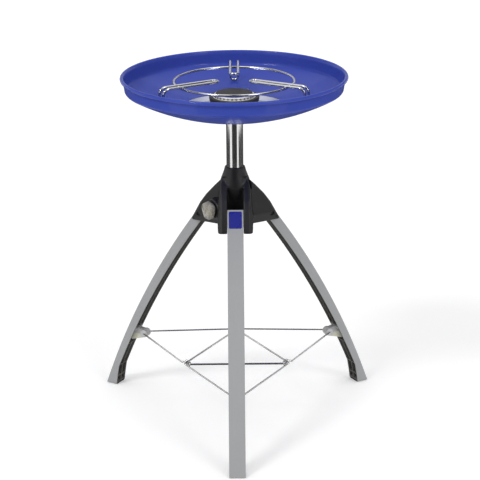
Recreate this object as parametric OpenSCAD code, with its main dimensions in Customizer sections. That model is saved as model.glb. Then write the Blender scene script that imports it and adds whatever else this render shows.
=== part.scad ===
// Portable propane burner stand: a folding tripod with a wire brace, a sliding post,
// a round enamelled dish, a gas burner and a loose wire pot stand.
// Millimetres. The origin lies on the ground on the tripod's axis, +Z is up and the
// front leg points towards -Y.

/* [Tripod] */
// Radius of the circle that the legs' outer bottom edges stand on
foot_r = 320; // [260:1:380]
// Height of the leg pivots above the ground
pivot_z = 433; // [360:1:520]
// Distance of the leg pivots from the tripod's axis
pivot_r = 66.4; // [60:0.1:80]
// Width of a leg
leg_w = 32; // [26:0.5:38]
// Wall of the leg moulding
leg_wall = 2.6; // [2:0.1:3.2]
// Radius of the leg's outer face in side view
leg_curve = 1687; // [1400:1:2100]
// Depth of a leg just below the hub
leg_depth_top = 20; // [18:0.5:24]
// Depth of a leg at the foot, before the foot's flare
leg_depth_foot = 13.5; // [11:0.5:16]
// How far the foot flares inwards
foot_flare = 11; // [8:0.5:14]
// Length of a leg above its pivot
leg_head = 25.6; // [20:0.1:30]
// How far a foot pad stands out below its leg
pad_proud = 1.5; // [1:0.1:3]

/* [Badge] */
// Width of the blank inlay on a leg
badge_w = 26; // [20:0.5:30]
// Length of the blank inlay on a leg
badge_l = 36; // [28:0.5:42]

/* [Hub] */
// Height of the collar's top above the leg pivots
collar_up = 101.3; // [90:0.1:120]
// Outer radius of the collar at its top
collar_r = 20.3; // [19.5:0.1:24]
// Thickness of a hub cheek beside a leg
cheek_t = 16.6; // [12:0.1:20]
// Depth of the hub below the leg pivots
hub_down = 15.5; // [12:0.5:20]
// Height of the clamp's axis above the leg pivots
clamp_up = 17.6; // [12:0.1:24]
// Radius of the clamp boss
boss_r = 22; // [16:0.5:22.5]
// Distance of the clamp boss's end from the axis
boss_end = 53; // [48:0.5:60]
// Outer radius of the clamp knob
knob_r = 20; // [16:0.5:24]
// Thickness of the clamp knob
knob_t = 14; // [10:0.5:18]

/* [Post] */
// Outer radius of the post
post_r = 17; // [14:0.1:18]
// Wall of the post
post_wall = 1.5; // [1:0.1:2]
// Length of post between the collar and the dish
post_out = 104.3; // [90:0.1:140]
// Length of post inside the hub
post_in = 104; // [90:1:112]

/* [Dish] */
// Outer radius of the dish at its rim
dish_r = 225; // [200:1:260]
// Depth of the dish's side wall below the top of the rim
wall_h = 29.1; // [24:0.1:36]
// Radius of the bead round the rim
bead_r = 3.6; // [3:0.1:4.5]
// Radius of the curved bottom
bowl_r = 441.6; // [400:1:520]
// Thickness of the sheet
sheet = 1.6; // [1.2:0.1:2.2]
// Radius of the flat in the middle of the bottom
flat_r = 52; // [50:1:60]

/* [Burner] */
// Radius of the burner body
burner_r = 48; // [46:0.5:52]
// Height of the burner body
burner_h = 35; // [30:0.5:42]
// Radius of the reflector plate
reflector_r = 111; // [100:1:125]
// Number of gas ports
ports = 30; // [18:1:36]
// Radius of the gas knob
gas_knob_r = 17; // [14:0.5:20]

/* [Pot stand] */
// Radius of the pot ring
ring_r = 119; // [105:1:132]
// Radius of the pot stand's wire
wire_r = 2.5; // [2:0.1:3]
// Depth of the ring's centre below the top of the rim
ring_down = 13; // [11:0.5:16]
// Reach of a pot support from the axis
support_reach = 162; // [150:1:176]
// Spacing of a support's two wires
support_gap = 16; // [12:0.5:20]

/* [Brace] */
// Height of the brace above the ground
brace_z = 130; // [100:1:170]
// Clear distance from a leg's inner face to the brace pivot
brace_off = 21.4; // [19:0.1:26]
// Inner radius of the centre triangle
tri_in = 62.5; // [55:0.5:72]
// Radius of the brace's wire
rod_r = 1.75; // [1.5:0.05:2.25]
// Radius of the centre triangle's wire
tri_r = 2; // [1.75:0.05:2.5]
// Half the width of a leg bracket
bracket_hw = 6; // [4.5:0.1:7]

/* [Fits] */
// Radial clearance of a shaft in its hole
fit = 0.08; // [0.04:0.01:0.1]
// Clearance between faces that only pass each other
gap = 0.3; // [0.25:0.05:0.5]

/* [Hidden] */
AZ = [-90, 30, 150];
$fn = 96;
big = 900;

// Centre of the circle that lies at distance ra from point a and rb from point b,
// on the side of the axis
function centre_of(a, ra, b, rb) =
  let (d = norm(b - a), u = (b - a) / d, x = (ra * ra - rb * rb + d * d) / (2 * d))
  a + x * u + sqrt(ra * ra - x * x) * [-abs(u[1]), -abs(u[0])];

// Point on a circle about c
function on_arc(c, r, t) = c + r * [cos(t), sin(t)];

// Angle of a height z on a circle about c
function arc_angle(c, r, z) = asin((z - c[1]) / r);

PIVOT = [pivot_r, pivot_z];
FOOT = [foot_r, 0];
pivot_depth = 12;
pin_r = 4;
boss_leg_r = 8;
// Centre and radius of the leg's outer and inner faces, in its own upright plane
OUT_C = centre_of(FOOT, leg_curve, PIVOT, leg_curve - pivot_depth);
in_curve = leg_curve * 1.05;
IN_C = centre_of(FOOT, in_curve + leg_depth_foot,
                 PIVOT, in_curve + leg_depth_top - pivot_depth);
ang_pivot = atan2(PIVOT[1] - OUT_C[1], PIVOT[0] - OUT_C[0]);
deg_mm = 180 / (PI * leg_curve);
ang_top = ang_pivot + leg_head * deg_mm;
ang_foot = arc_angle(OUT_C, leg_curve, 0);

// Radius of the leg's inner face at height z
function inner_r(z) = IN_C[0] + sqrt(in_curve * in_curve - pow(z - IN_C[1], 2));
brace_r = inner_r(brace_z) - brace_off;
brace_ang = arc_angle(IN_C, in_curve, brace_z);
brace_out = brace_off * cos(brace_ang);
BRACE_ROOT = [brace_r, brace_z] + brace_out * [cos(brace_ang), sin(brace_ang)];
ang_brace = atan2(BRACE_ROOT[1] - OUT_C[1], BRACE_ROOT[0] - OUT_C[0]);

hub_top = pivot_z + collar_up;
hub_bottom = pivot_z - hub_down;
hub_half = leg_w / 2 + gap + cheek_t;
core_r = post_r + 7;
slot_top = hub_top - 36;
cone_h = 34;
clamp_z = pivot_z + clamp_up;
clamp_az = 210;
screw_r = 4;
clamp_pad_r = 6;
clamp_pad_t = 3;

flat_z = hub_top + post_out;
bowl_cz = flat_z + sqrt(bowl_r * bowl_r - flat_r * flat_r);
wall_r = dish_r - 2 * bead_r + 0.4;
corner_r = wall_r - 2;
corner_z = round(100 * (bowl_cz - sqrt(bowl_r * bowl_r - corner_r * corner_r))) / 100;
rim_z = corner_z + wall_h;
floor_z = flat_z + sheet;
plate = 0.8;
burner_z = floor_z + plate;
burner_top = burner_z + burner_h;

spigot_r = post_r - post_wall - 1.5;
flange_t = 3;
flange_r = 46;
spigot_l = 60;
flange_z = flat_z - flange_t;
bush_flange = 3;
post_top = flange_z - gap - bush_flange;
post_bottom = hub_top - post_in;
screw_ring = 40;
burner_screw_r = 2.5;

tube_r = 9;
tube_wall = 1.2;
tube_y = 30;
bend_r = 14;
tube_z = flange_z - 2.6 - bend_r;
mouth_y = 112;
mouth_r = 11;
valve_y = 128;
valve_l = 24;
valve_r = 9;
spindle_r = 3;
igniter_z = tube_z + 9;
igniter_r = 8;
button_r = 5;
button_travel = 5;
electrode_az = 60;
electrode_at = burner_r + 8;
igniter_x = electrode_at * cos(electrode_az);
lead_r = 1.5;

ring_z = rim_z - ring_down;
support_z = ring_z + 2 * wire_r;
foot_bend = 14;

tri_half = tri_in * sqrt(3);
hook_t = tri_half - 12;
hook_l = 8;
hook_lead = 8;
hook_r = tri_r + fit + 1.8;
eye_in = bracket_hw + gap;
eye_t = 2 * rod_r + 0.1;
arm_end_t = eye_in + eye_t / 2;
eye_r = 8;
knuckle_r = 9;
arm_slope = (tri_half - arm_end_t) / (brace_r - tri_in);

steel = "silver";
grey = [0.66, 0.66, 0.65];
black = [0.09, 0.09, 0.1];
blue = [0.2, 0.25, 0.6];
brass = [0.75, 0.6, 0.3];

// An outline in the (radius, height) plane of a leg made into a slab of width w
module slab(w) {
  rotate([90, 0, 0]) linear_extrude(w, center = true) children();
}

// The band of the leg's plane between two angles about the outer face's centre
module sector(a, b) {
  far = leg_curve * 1.06;
  polygon([on_arc(OUT_C, leg_curve - 70, a), on_arc(OUT_C, far, a),
           on_arc(OUT_C, far, b), on_arc(OUT_C, leg_curve - 70, b)]);
}

module disc_at(c, r) {
  translate(c) circle(r, $fn = 360);
}

// Side outline of a leg, from the bottom edge to the head
module leg_outline() {
  difference() {
    intersection() {
      disc_at(OUT_C, leg_curve);
      sector(ang_foot - 1, ang_top);
    }
    disc_at(IN_C, in_curve);
    translate([0, pad_proud - 60]) square([big, 60]);
  }
  intersection() {
    disc_at(OUT_C, leg_curve);
    foot_outline();
  }
}

// Flare that widens the leg inwards at the foot
module foot_outline() {
  r0 = inner_r(44);
  r1 = inner_r(0) - foot_flare;
  polygon([[r0, 44], [r0 + (r1 - r0) * -0.1 + 4.5, 24], [r1, pad_proud],
           [foot_r + 5, pad_proud], [r0 + 8, 44]]);
}

// Hollow of one cell between the leg's ribs
module cell_outline(a, b) {
  intersection() {
    disc_at(OUT_C, leg_curve - leg_wall);
    sector(a, b);
  }
}

rib_t = 2;
pad_ang = ang_foot + 14 * deg_mm;
free_low = ang_brace - 42 * deg_mm;
free_high = ang_brace + 6 * deg_mm;
head_low = ang_pivot - 24 * deg_mm;
half_rib = rib_t / 2 * deg_mm;
LOW = [pad_ang, pad_ang + 15 * deg_mm, pad_ang + 42 * deg_mm, free_low];
HIGH = [free_high, head_low];

// One leg in the plane of +X: a channel, open inwards, with a middle rib and cross ribs
module leg() {
  inside = leg_w - 2 * leg_wall;
  difference() {
    slab(leg_w) leg_outline();
    for (side = [-1, 1])
      translate([0, side * (inside / 4 + rib_t / 4), 0]) {
        for (cells = [LOW, HIGH], i = [0:len(cells) - 2])
          slab(inside / 2 - rib_t / 2) cell_outline(cells[i] + half_rib, cells[i + 1] - half_rib);
      }
    slab(inside) cell_outline(free_low + half_rib, free_high - half_rib);
    slab(inside) cell_outline(ang_foot - 1, pad_ang - half_rib);
    slab(inside) difference() {
      cell_outline(head_low + half_rib, ang_top - leg_wall * deg_mm);
      translate(PIVOT) circle(boss_leg_r);
    }
    slab(leg_w + 2) translate(PIVOT) circle(pin_r + fit);
    badge_prism(gap * 0.2, badge_depth);
  }
}

badge_depth = 1;
badge_proud = 0.4;
badge_ang = ang_top - (badge_l / 2 + 3.4) * deg_mm;

// Rounded block that the badge is cut from, as deep as given below the outer face
module badge_prism(extra, depth) {
  c = on_arc(OUT_C, leg_curve, badge_ang);
  x = badge_l / 2 - 3;
  y = badge_w / 2 - 3;
  intersection() {
    translate([c[0], 0, c[1]]) rotate([0, 90 - badge_ang, 0])
      translate([0, 0, -8]) linear_extrude(16) union() {
        square([2 * x, 2 * (y + 3 + extra)], center = true);
        square([2 * (x + 3 + extra), 2 * y], center = true);
        for (i = [-1, 1], j = [-1, 1]) translate([i * x, j * y]) circle(3 + extra);
      }
    slab(leg_w) difference() {
      disc_at(OUT_C, leg_curve + badge_proud);
      disc_at(OUT_C, leg_curve - depth);
    }
  }
}

module badge() {
  badge_prism(0, badge_depth - gap * 0.2);
}

// Rubber foot: fills the end of the channel and stands out below it
module foot_pad() {
  inside = leg_w - 2 * leg_wall - 2 * fit;
  slab(inside) difference() {
    intersection() {
      disc_at(OUT_C, leg_curve - leg_wall - fit);
      sector(ang_foot - 1, pad_ang - half_rib - 0.003);
      union() {
        difference() {
          translate([foot_r - 60, 0]) square([80, 60]);
          disc_at(IN_C, in_curve + 0.6);
        }
        translate([0, -pad_proud]) foot_outline();
      }
    }
    translate([0, -60]) square([big, 60]);
  }
}

// Ends of the bracket's root along the leg, from the level of its knuckle
root_high = 2;
root_low = -31;

// Bracket on the leg's inner side: a root in the channel, a web and a round knuckle
module bracket() {
  depth = leg_depth_foot - leg_wall + 1;
  slab(2 * bracket_hw) translate([brace_r, brace_z]) rotate(brace_ang) union() {
    circle(knuckle_r);
    polygon([[-1, knuckle_r - 0.1], [brace_out, root_high], [brace_out + depth, root_high],
             [brace_out + depth, root_low + 1], [brace_out, root_low],
             [-0.7 * knuckle_r, -0.69 * knuckle_r]]);
  }
  slab(leg_w - 2 * leg_wall - 2 * fit) translate([brace_r, brace_z]) rotate(brace_ang)
    translate([brace_out - 1, root_high - 7]) square([depth, 7]);
}

// A round bar between two points
module bar(p, q, r) {
  d = q - p;
  translate(p) rotate([0, acos(d[2] / norm(d)), atan2(d[1], d[0])]) cylinder(h = norm(d), r = r);
}

// One brace arm: two rods that hook on the centre triangle, with flat eyes at the leg
module brace_arm() {
  for (s = [-1, 1]) {
    tip = [brace_r, s * arm_end_t, brace_z];
    bend = [tri_in + hook_lead, s * (tri_half - hook_lead * arm_slope), brace_z];
    hook = [tri_in, s * hook_t, brace_z];
    difference() {
      union() {
        bar(tip, bend, rod_r);
        translate(bend) rotate(90 * s) sphere(rod_r * 1.25);
        bar(bend, hook, rod_r);
        translate(hook) rotate([90, 0, 0]) cylinder(h = hook_l, r = hook_r, center = true);
      }
      translate(hook) rotate([90, 0, 0]) cylinder(h = hook_l + 2, r = tri_r + fit, center = true);
    }
    translate(tip) rotate([90, 0, 0]) cylinder(h = eye_t, r = eye_r, center = true);
  }
}

// Triangle of three straight wires, welded at the corners
module brace_centre() {
  color(steel) for (a = AZ) rotate(a) {
    translate([tri_in, 0, brace_z]) rotate([90, 0, 0])
      cylinder(h = 2 * tri_half, r = tri_r, center = true);
    rotate(60) translate([2 * tri_in, 0, brace_z]) sphere(tri_r * 1.3);
  }
}

// Points of a hub wing's sloping outer edge, from the collar to the bottom
wing_x = pivot_r - 66.4;
WING = [[14, hub_top - 19.3], [33 + wing_x * 0.3, pivot_z + 62.5],
        [50.5 + wing_x * 0.6, pivot_z + 44], [65.5 + wing_x, pivot_z + 24.2],
        [76 + wing_x, pivot_z + 5.8], [86.5 + wing_x, pivot_z - hub_down + 2.6]];
wing_low = hub_bottom - 2;
wing_face = hub_half - 4;

module wing_outline() {
  polygon(concat([[0, hub_top - 20]], WING,
                 [[84 + wing_x, hub_bottom], [82 + wing_x, wing_low], [0, wing_low]]));
}

// One wing: two cheeks in one slab that flares towards its foot, with bevelled outer edges
module wing() {
  h = hub_half;
  difference() {
    intersection() {
      slab(2 * h + 10) wing_outline();
      rotate([90, 0, 90]) linear_extrude(140) polygon([
        [-h + 8, hub_top - 10], [-h + 2, pivot_z + 58], [-h, pivot_z + 25],
        [-h - 3.3, pivot_z + 4], [-h - 1.4, wing_low - 1], [h + 1.4, wing_low - 1],
        [h + 3.3, pivot_z + 4], [h, pivot_z + 25], [h - 2, pivot_z + 58], [h - 8, hub_top - 10]]);
    }
    for (i = [1:len(WING) - 2]) {
      d = WING[i + 1] - WING[i];
      for (side = [-1, 1])
        translate([WING[i][0], side * wing_face, WING[i][1]]) rotate([0, atan2(-d[0], -d[1]), 0])
          rotate(side * 45) translate([0, -120, -120]) cube([80, 240, 240]);
    }
  }
}

module hub_shell() {
  leg_in = leg_depth_top - pivot_depth;
  color(black) difference() {
    union() {
      rotate_extrude() polygon([[0, hub_bottom + 2], [core_r + 6, hub_bottom + 2],
                                [core_r + 7, hub_top - 34], [28.5, hub_top - 25.3],
                                [22.4, hub_top - 9.3], [collar_r, hub_top], [0, hub_top]]);
      for (a = AZ) rotate(a) wing();
      rotate(clamp_az) translate([0, 0, clamp_z]) rotate([0, 90, 0]) rotate(75)
        cylinder(h = boss_end, r1 = boss_r + 5, r2 = boss_r);
    }
    for (a = AZ) rotate(a) {
      difference() {
        translate([core_r, -leg_w / 2 - gap, hub_bottom - 4])
          cube([200, leg_w + 2 * gap, slot_top - hub_bottom + 4]);
        // Cone that narrows the slot towards its roof
        translate([0, 0, slot_top - cone_h])
          cylinder(h = cone_h + 3, r1 = core_r - 0.6, r2 = core_r + 9);
        // Stop that the leg's head rests on when the leg is open
        slab(leg_w + 4) translate(PIVOT) rotate(ang_pivot)
          translate([-leg_in - gap - 16, 4]) square([16, leg_head - 2]);
      }
      slab(2 * hub_half + 12) translate(PIVOT) circle(pin_r + fit / 2);
    }
    // Pocket in the shoulder between the front and right wings
    rotate(-30) translate([32, 0, hub_top - 52]) cylinder(h = 60, r = 4.2);
    translate([-200, -200, hub_bottom - 20]) cube([400, 400, 20]);
    translate([0, 0, hub_bottom - 4]) cylinder(h = hub_top - hub_bottom + 8, r = post_r + fit);
    rotate(clamp_az) translate([0, 0, clamp_z]) rotate([0, 90, 0]) {
      cylinder(h = boss_end + 1, r = screw_r + gap);
      cylinder(h = post_r + clamp_pad_t + 7, r = clamp_pad_r + fit);
      translate([0, 0, boss_end - 9]) cylinder(h = 10, r = 8 + fit, $fn = 6);
    }
  }
}

module pivot_pins() {
  color(steel) for (a = AZ) rotate(a)
    translate([PIVOT[0], 0, PIVOT[1]]) rotate([90, 0, 0])
      cylinder(h = 2 * hub_half - 2, r = pin_r, center = true);
}

module clamp_insert() {
  color(brass) rotate(clamp_az) translate([boss_end - 9, 0, clamp_z]) rotate([0, 90, 0]) difference() {
    cylinder(h = 8.6, r = 8, $fn = 6);
    translate([0, 0, -1]) cylinder(h = 11, r = screw_r + fit);
  }
}

pad_at = post_r + gap;
screw_in = pad_at + clamp_pad_t;

module clamp_screw() {
  color(steel) rotate(clamp_az) translate([screw_in, 0, clamp_z]) rotate([0, 90, 0])
    cylinder(h = boss_end - screw_in + 10, r = screw_r);
}

module clamp_knob() {
  lobe = knob_r * 0.46;
  color([0.6, 0.58, 0.52]) rotate(clamp_az) translate([boss_end + 1.4, 0, clamp_z]) rotate([0, 90, 0])
    difference() {
      union() {
        linear_extrude(knob_t) union() {
          circle(knob_r * 0.66);
          for (i = [0:2]) rotate(120 * i + 180) translate([knob_r - lobe, 0]) circle(lobe);
        }
        cylinder(h = knob_t + 1.2, r = knob_r * 0.4);
      }
      translate([0, 0, -1]) cylinder(h = 10, r = screw_r);
    }
}

module clamp_pad() {
  color(black) difference() {
    rotate(clamp_az) translate([pad_at - 1.5, 0, clamp_z]) rotate([0, 90, 0])
      cylinder(h = clamp_pad_t + 1.5 - fit, r = clamp_pad_r);
    translate([0, 0, clamp_z - 20]) cylinder(h = 40, r = post_r + gap);
  }
}

module post_tube() {
  color(steel) translate([0, 0, post_bottom]) difference() {
    cylinder(h = post_top - post_bottom, r = post_r);
    translate([0, 0, -1]) cylinder(h = post_top - post_bottom + 2, r = post_r - post_wall);
  }
}

module post_bush() {
  color(black) difference() {
    union() {
      translate([0, 0, post_top]) cylinder(h = bush_flange, r = post_r);
      translate([0, 0, post_top - spigot_l - 6]) cylinder(h = spigot_l + 7, r = post_r - post_wall - fit);
    }
    translate([0, 0, post_top - spigot_l - 7]) cylinder(h = spigot_l + 20, r = spigot_r + fit);
  }
}

module post_plug() {
  color(black) union() {
    translate([0, 0, post_bottom - 2]) cylinder(h = 2, r = post_r - 0.6);
    translate([0, 0, post_bottom - 1]) cylinder(h = 13, r = post_r - post_wall - fit);
  }
}

// Section of the dish's side wall, from the bead down to the curved bottom
module wall_section() {
  mid = rim_z - 0.6 * wall_h;
  polygon([[wall_r + 2.4, rim_z - bead_r], [wall_r, rim_z - 2 * bead_r - 0.6],
           [wall_r - 0.4, mid], [corner_r - 0.05, corner_z + 0.2],
           [corner_r - sheet, corner_z + 0.2], [wall_r - 0.4 - sheet, mid],
           [wall_r - sheet, rim_z - 2 * bead_r - 0.4], [wall_r + 1, rim_z - bead_r + 1]]);
}

// Section of the dish's curved bottom with the flat in its middle
module bowl_section() {
  difference() {
    intersection() {
      translate([0, bowl_cz]) circle(bowl_r, $fn = 360);
      translate([flat_r - 4, flat_z - 20]) square([corner_r - flat_r + 4, corner_z - flat_z + 26]);
    }
    translate([0, bowl_cz]) circle(bowl_r - sheet, $fn = 360);
    translate([0, flat_z - 30]) square([big, 30]);
  }
  translate([0, flat_z]) square([flat_r, sheet]);
}

module screw_places() {
  for (a = [30, 150, 270]) rotate(a) translate([screw_ring, 0, 0]) children();
}

module dish_pan() {
  color(blue) difference() {
    union() {
      rotate(80) rotate_extrude($fn = 180) wall_section();
      rotate(40) rotate_extrude($fn = 180)
        translate([dish_r - bead_r, rim_z - bead_r]) circle(bead_r);
      rotate_extrude($fn = 180) bowl_section();
    }
    translate([0, tube_y, flat_z - 5]) cylinder(h = 12, r = tube_r + fit);
    screw_places() translate([0, 0, flat_z - 5]) cylinder(h = 12, r = burner_screw_r + fit);
    rotate(electrode_az) translate([electrode_at, 0, flat_z - 5]) cylinder(h = 14, r = 3 + fit);
  }
}

module spigot() {
  color(steel) difference() {
    union() {
      translate([0, 0, flange_z]) cylinder(h = flange_t, r = flange_r);
      translate([0, 0, flange_z - spigot_l]) cylinder(h = spigot_l + 1, r = spigot_r);
    }
    translate([0, 0, flange_z - spigot_l - 1]) cylinder(h = spigot_l, r = spigot_r - 1.5);
    translate([0, tube_y, flange_z - 5]) cylinder(h = 12, r = tube_r + fit);
    screw_places() translate([0, 0, flange_z - 5]) cylinder(h = 12, r = burner_screw_r + fit);
  }
}

module burner_screws() {
  color(steel) screw_places() {
    translate([0, 0, flange_z - 3.5]) cylinder(h = burner_z - flange_z + 3.5 + 7, r = burner_screw_r);
    translate([0, 0, flange_z - 3.5]) cylinder(h = 3.5, r = 4.4, $fn = 6);
  }
}

module reflector() {
  rise = 14;
  floor_edge = bowl_cz - sqrt(pow(bowl_r - sheet, 2) - reflector_r * reflector_r);
  color(steel) difference() {
    rotate_extrude($fn = 180) union() {
      polygon([[0, floor_z], [flat_r - 8, floor_z], [reflector_r - 2, floor_z + rise],
               [reflector_r, floor_z + rise], [reflector_r, floor_z + rise + plate],
               [reflector_r - 2, floor_z + rise + plate], [flat_r - 8.2, burner_z], [0, burner_z]]);
      polygon([[reflector_r - plate, floor_edge + 0.1], [reflector_r, floor_edge + 0.1],
               [reflector_r, floor_z + rise + 0.4], [reflector_r - plate, floor_z + rise + 0.4]]);
    }
    translate([0, tube_y, floor_z - 1]) cylinder(h = 12, r = tube_r + fit);
    screw_places() translate([0, 0, floor_z - 1]) cylinder(h = 12, r = burner_screw_r + fit);
    rotate(electrode_az) translate([electrode_at, 0, floor_z - 1]) cylinder(h = 20, r = 3 + fit);
  }
}

module burner_body() {
  color(black) difference() {
    rotate_extrude() polygon([[0, burner_z], [flat_r - 9, burner_z], [burner_r, burner_z + 6],
                              [burner_r, burner_top], [burner_r - 3.5, burner_top],
                              [burner_r - 3.5, burner_z + 8], [flat_r - 12, burner_z + 4],
                              [0, burner_z + 4]]);
    translate([0, tube_y, burner_z - 1]) cylinder(h = 12, r = tube_r + fit);
    screw_places() translate([0, 0, burner_z - 1]) cylinder(h = 12, r = burner_screw_r + fit);
  }
}

module burner_ring() {
  r = burner_r;
  t = burner_top;
  color(steel) rotate_extrude() polygon([[cap_r + fit, t], [r + 1.6, t], [r + 2, t + 1],
    [r + 1.2, t + 2.6], [r - 3, t + 1.6], [cap_r + fit, t + 1.6]]);
}

cap_r = burner_r - 8;

module burner_cap() {
  r = cap_r;
  t = burner_top;
  color(black) difference() {
    rotate_extrude() polygon([[0, t + 6], [r - 3, t + 6], [r - 3, t - 5], [r, t - 5],
      [r, t + 1.6], [r + 2.5, t + 1.6], [r + 2.5, t + 2.4], [r, t + 2.4],
      [r, t + 7], [r - 3, t + 9], [r - 12, t + 10.4], [0, t + 11]]);
    for (i = [0:ports - 1]) rotate(360 * i / ports)
      translate([r - 6, 0, t + 4.2]) rotate([0, 90, 0]) cylinder(h = 10, r = 1.4);
  }
}

// Run of the mixing tube with radius r: down through the dish, round a bend and back.
// over lengthens both ends.
module tube_run(r, over) {
  translate([0, tube_y, tube_z + bend_r])
    cylinder(h = burner_z + 8 - tube_z - bend_r + over, r = r);
  translate([0, tube_y + bend_r, tube_z + bend_r]) rotate([90, 0, 90]) rotate(180)
    rotate_extrude(angle = 90) translate([bend_r, 0]) circle(r);
  translate([0, tube_y + bend_r, tube_z]) rotate([-90, 0, 0])
    cylinder(h = mouth_y - tube_y - bend_r + over, r = r);
}

module mixing_tube() {
  color(steel) difference() {
    union() {
      tube_run(tube_r, 0);
      translate([0, mouth_y - 12, tube_z]) rotate([-90, 0, 0])
        cylinder(h = valve_y - mouth_y + 12 - fit, r = mouth_r);
    }
    tube_run(tube_r - tube_wall, 1);
    translate([0, mouth_y - 10, tube_z]) rotate([-90, 0, 0])
      cylinder(h = valve_y - mouth_y + 20, r = mouth_r - tube_wall);
    // Air slots round the mouth
    for (a = [0:60:300]) translate([0, mouth_y - 4, tube_z]) rotate([0, a, 0])
      translate([-2, 0, 0]) cube([4, 11, 20]);
  }
}

module gas_jet() {
  color(brass) translate([0, valve_y, tube_z]) rotate([90, 0, 0]) difference() {
    union() {
      cylinder(h = 4, r = 5, $fn = 6);
      cylinder(h = 10, r = 3);
    }
    translate([0, 0, -1]) cylinder(h = 14, r = 0.6, $fn = 24);
  }
}

module valve_body() {
  color(brass) difference() {
    union() {
      translate([0, valve_y, tube_z]) rotate([-90, 0, 0]) cylinder(h = valve_l, r = valve_r);
      translate([0, valve_y + 11, tube_z - valve_r - 3]) cylinder(h = valve_r, r = 7, $fn = 6);
    }
    translate([0, valve_y + 6, tube_z]) rotate([-90, 0, 0]) cylinder(h = valve_l, r = spindle_r + fit);
    translate([0, valve_y - 1, tube_z]) rotate([-90, 0, 0]) cylinder(h = 5, r = 0.8, $fn = 24);
    translate([0, valve_y + 11, tube_z - valve_r - 4]) cylinder(h = 8, r = 4 + fit / 2);
  }
}

// Sheet hanger welded under the dish, with holes for the valve and the igniter
module valve_bracket() {
  t = 2;
  low = tube_z - 12;
  color(steel) difference() {
    translate([-16, valve_y + 1, low]) cube([igniter_x + 16 + 13, t, corner_z - low]);
    translate([0, 0, bowl_cz]) sphere(bowl_r + 0.02, $fn = 360);
    translate([0, valve_y - 1, tube_z]) rotate([-90, 0, 0]) cylinder(h = 8, r = valve_r + fit);
    translate([igniter_x, valve_y - 1, igniter_z]) rotate([-90, 0, 0])
      cylinder(h = 8, r = igniter_r + fit);
  }
}

nozzle_r = 4;
nozzle_l = 26;

module hose_nozzle() {
  top = tube_z - valve_r + 2;
  color(brass) difference() {
    union() {
      translate([0, valve_y + 11, top - nozzle_l + 1]) cylinder(h = nozzle_l - 1, r = nozzle_r);
      translate([0, valve_y + 11, top - nozzle_l]) cylinder(h = 1, r1 = nozzle_r - 0.8, r2 = nozzle_r);
      translate([0, valve_y + 11, top - 8]) cylinder(h = 2.9, r = 6.5, $fn = 6);
    }
    translate([0, valve_y + 11, top - nozzle_l - 1]) cylinder(h = nozzle_l + 2, r = 2);
  }
}

knob_y = valve_y + valve_l + 8;

module valve_spindle() {
  color(brass) translate([0, valve_y + 7, tube_z]) rotate([-90, 0, 0])
    cylinder(h = knob_y + 12 - valve_y - 7, r = spindle_r);
}

module gas_knob() {
  color(black) translate([0, knob_y, tube_z]) rotate([-90, 0, 0]) difference() {
    union() {
      cylinder(h = 6, r = gas_knob_r);
      translate([0, 0, 6]) cylinder(h = 12, r = gas_knob_r - 3);
    }
    // Grip flats that leave a bar across the knob's face
    for (s = [-1, 1]) translate([s * gas_knob_r, 0, 14]) cube([2 * gas_knob_r - 10, 60, 14], center = true);
    translate([0, 0, -1]) cylinder(h = 13, r = spindle_r);
  }
}

igniter_back = valve_y + 18;

module igniter_body() {
  color(black) translate([igniter_x, mouth_y, igniter_z]) rotate([-90, 0, 0]) difference() {
    union() {
      cylinder(h = igniter_back - mouth_y, r = igniter_r);
      translate([0, 0, valve_y + 3 + gap - mouth_y]) cylinder(h = 3, r = igniter_r + 3);
    }
    translate([0, 0, igniter_back - mouth_y - 14]) cylinder(h = 15, r = button_r + fit);
  }
}

module igniter_button() {
  color("firebrick") translate([igniter_x, igniter_back - 14 + button_travel + gap, igniter_z])
    rotate([-90, 0, 0]) cylinder(h = 14 - gap + 2, r = button_r);
}

electrode_low = flange_z - 8;

module at_electrode() {
  rotate(electrode_az) translate([electrode_at, 0, 0]) children();
}

module electrode() {
  color("white") at_electrode() {
    translate([0, 0, electrode_low]) cylinder(h = burner_top - 6 - electrode_low, r = 3);
    translate([0, 0, flat_z + 9]) cylinder(h = 3, r = 4.6);
  }
}

module electrode_tip() {
  tip = burner_top + 4;
  color(steel) at_electrode() {
    translate([0, 0, burner_top - 6]) cylinder(h = tip - burner_top + 6, r = 0.8, $fn = 24);
    translate([0, 0, tip]) sphere(0.8, $fn = 24);
    translate([0, 0, tip]) rotate([0, -90, 0]) cylinder(h = 13, r = 0.8, $fn = 24);
  }
}

// Insulated lead: down from the electrode, round a bend and along to the igniter's foot
module ignition_lead() {
  turn = 4.6;
  y0 = electrode_at * sin(electrode_az);
  color(black) {
    translate([igniter_x, y0 + turn, electrode_low]) rotate([90, 0, 90]) rotate(180)
      rotate_extrude(angle = 90) translate([turn, 0]) circle(lead_r);
    translate([igniter_x, y0 + turn, electrode_low - turn]) rotate([-90, 0, 0])
      cylinder(h = mouth_y - y0 - turn, r = lead_r);
  }
}

module pot_ring() {
  color(steel) translate([0, 0, ring_z]) rotate_extrude($fn = 180)
    translate([ring_r, 0]) circle(wire_r);
}

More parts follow.
